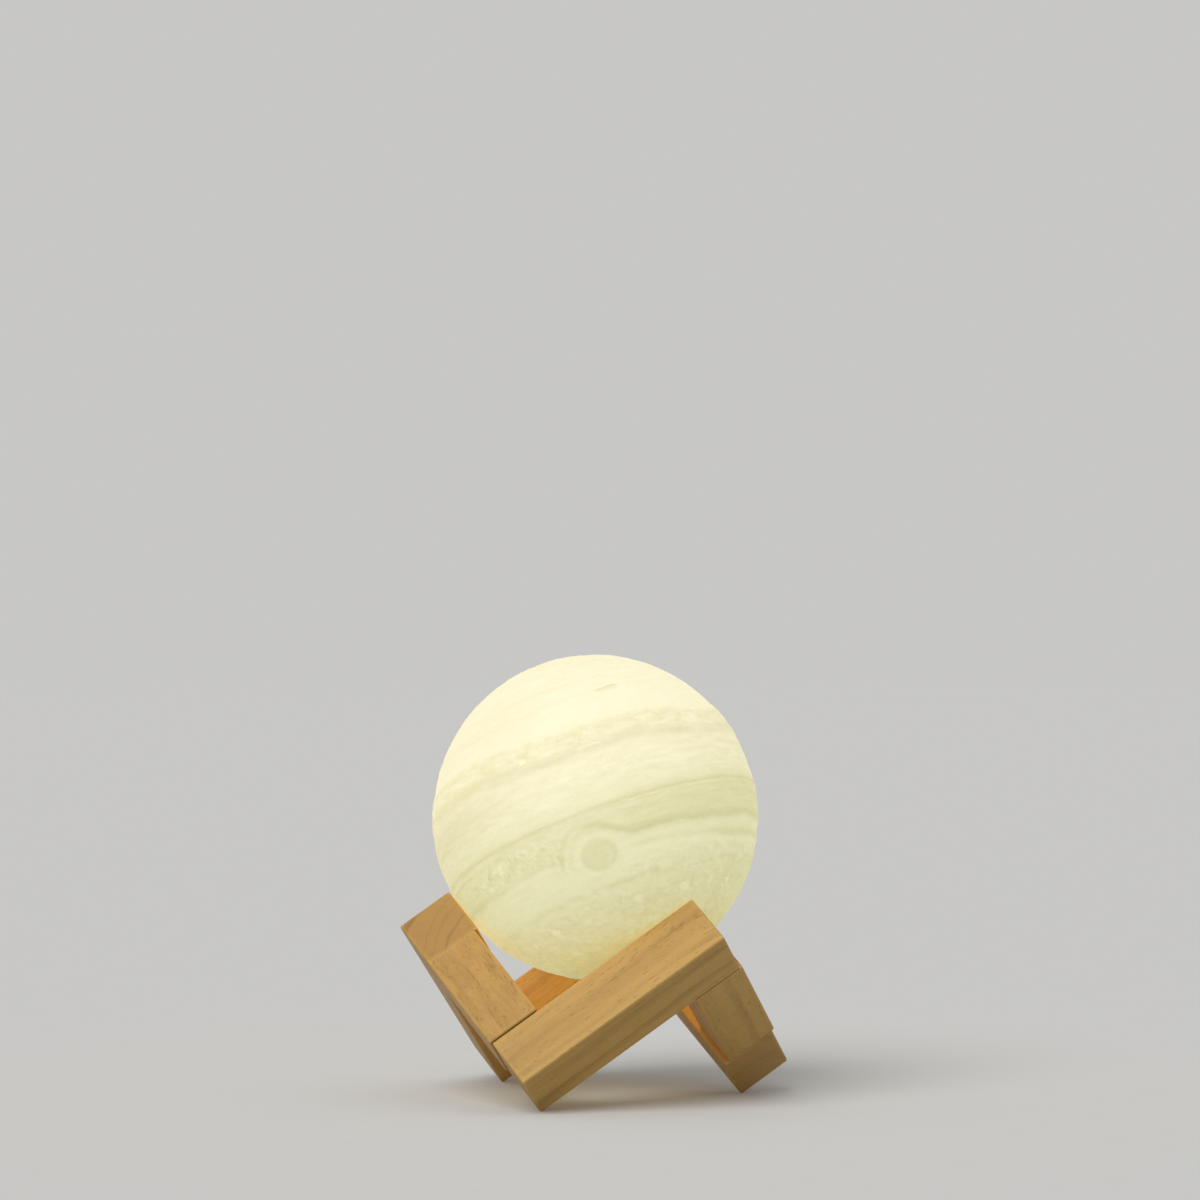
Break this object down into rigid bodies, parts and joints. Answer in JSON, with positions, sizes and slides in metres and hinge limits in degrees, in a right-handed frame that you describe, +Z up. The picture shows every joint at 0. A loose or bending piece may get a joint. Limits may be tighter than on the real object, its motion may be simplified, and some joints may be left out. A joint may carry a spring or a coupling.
{
  "type": "night light",
  "caption": "Hollow banded planet globe with a rechargeable light core, lying loose in a ring stand of interlocking square wooden bars on pointed feet.",
  "frame": {"origin": "on the table, midway between the stand's three feet", "axes": "+Z up through the stand's three-fold axis, +X along the front bar as it rises, the foot under the right bar lies on +X"},
  "size_m": [0.1208, 0.1042, 0.1354],
  "materials": {
    "beech": "sanded beech with a thin oil",
    "peg_wood": "plain turned birch",
    "printed_globe": "printed in fine layers, lit from inside",
    "cap_plastic": "smooth moulded",
    "ring_chrome": "polished",
    "lead_white": "satin insulation",
    "socket_plastic": "moulded",
    "pin_brass": "bright",
    "clear_rod": "clear moulded",
    "indicator_resin": "clear resin",
    "board_green": "solder mask",
    "chip_black": "moulded",
    "coil_ferrite": "ferrite",
    "capacitor_ceramic": "fired",
    "screw_steel": "zinc plated",
    "cell_foil": "satin foil pouch",
    "pad_foam": "soft foam",
    "lead_red": "satin insulation",
    "lead_black": "satin insulation",
    "housing_plastic": "moulded",
    "board_aluminium": "white solder mask",
    "led_resin": "phosphor resin"
  },
  "bodies": {
    "stand": {"front_bar": "beech", "right_bar": "beech", "left_bar": "beech", "right_block": "beech", "back_block": "beech", "left_block": "beech", "glued_pegs": "peg_wood", "joint_pegs": "peg_wood"},
    "globe": {"planet_shell": "printed_globe", "base_cap": "cap_plastic", "touch_ring": "ring_chrome", "touch_lead": "lead_white", "charging_socket": "socket_plastic", "socket_pin": "pin_brass", "light_pipe": "clear_rod", "indicator_led": "indicator_resin", "control_board": "board_green", "touch_chip": "chip_black", "charge_chip": "chip_black", "boost_coil": "coil_ferrite", "capacitors": "capacitor_ceramic", "resistors": "chip_black", "control_board_screws": "screw_steel", "lithium_cell": "cell_foil", "foam_pads": "pad_foam", "cell_lead_red": "lead_red", "cell_lead_black": "lead_black", "core_housing": "housing_plastic", "led_board": "board_aluminium", "led_board_screws": "screw_steel", "leds": "led_resin", "led_lead_red": "lead_red", "led_lead_black": "lead_black"}
  },
  "joints": [
    {"name": "globe_lift", "type": "slide", "parent": "stand", "child": "globe", "axis": [0, 0, 1], "range_m": [0, 0.1]}
  ]
}
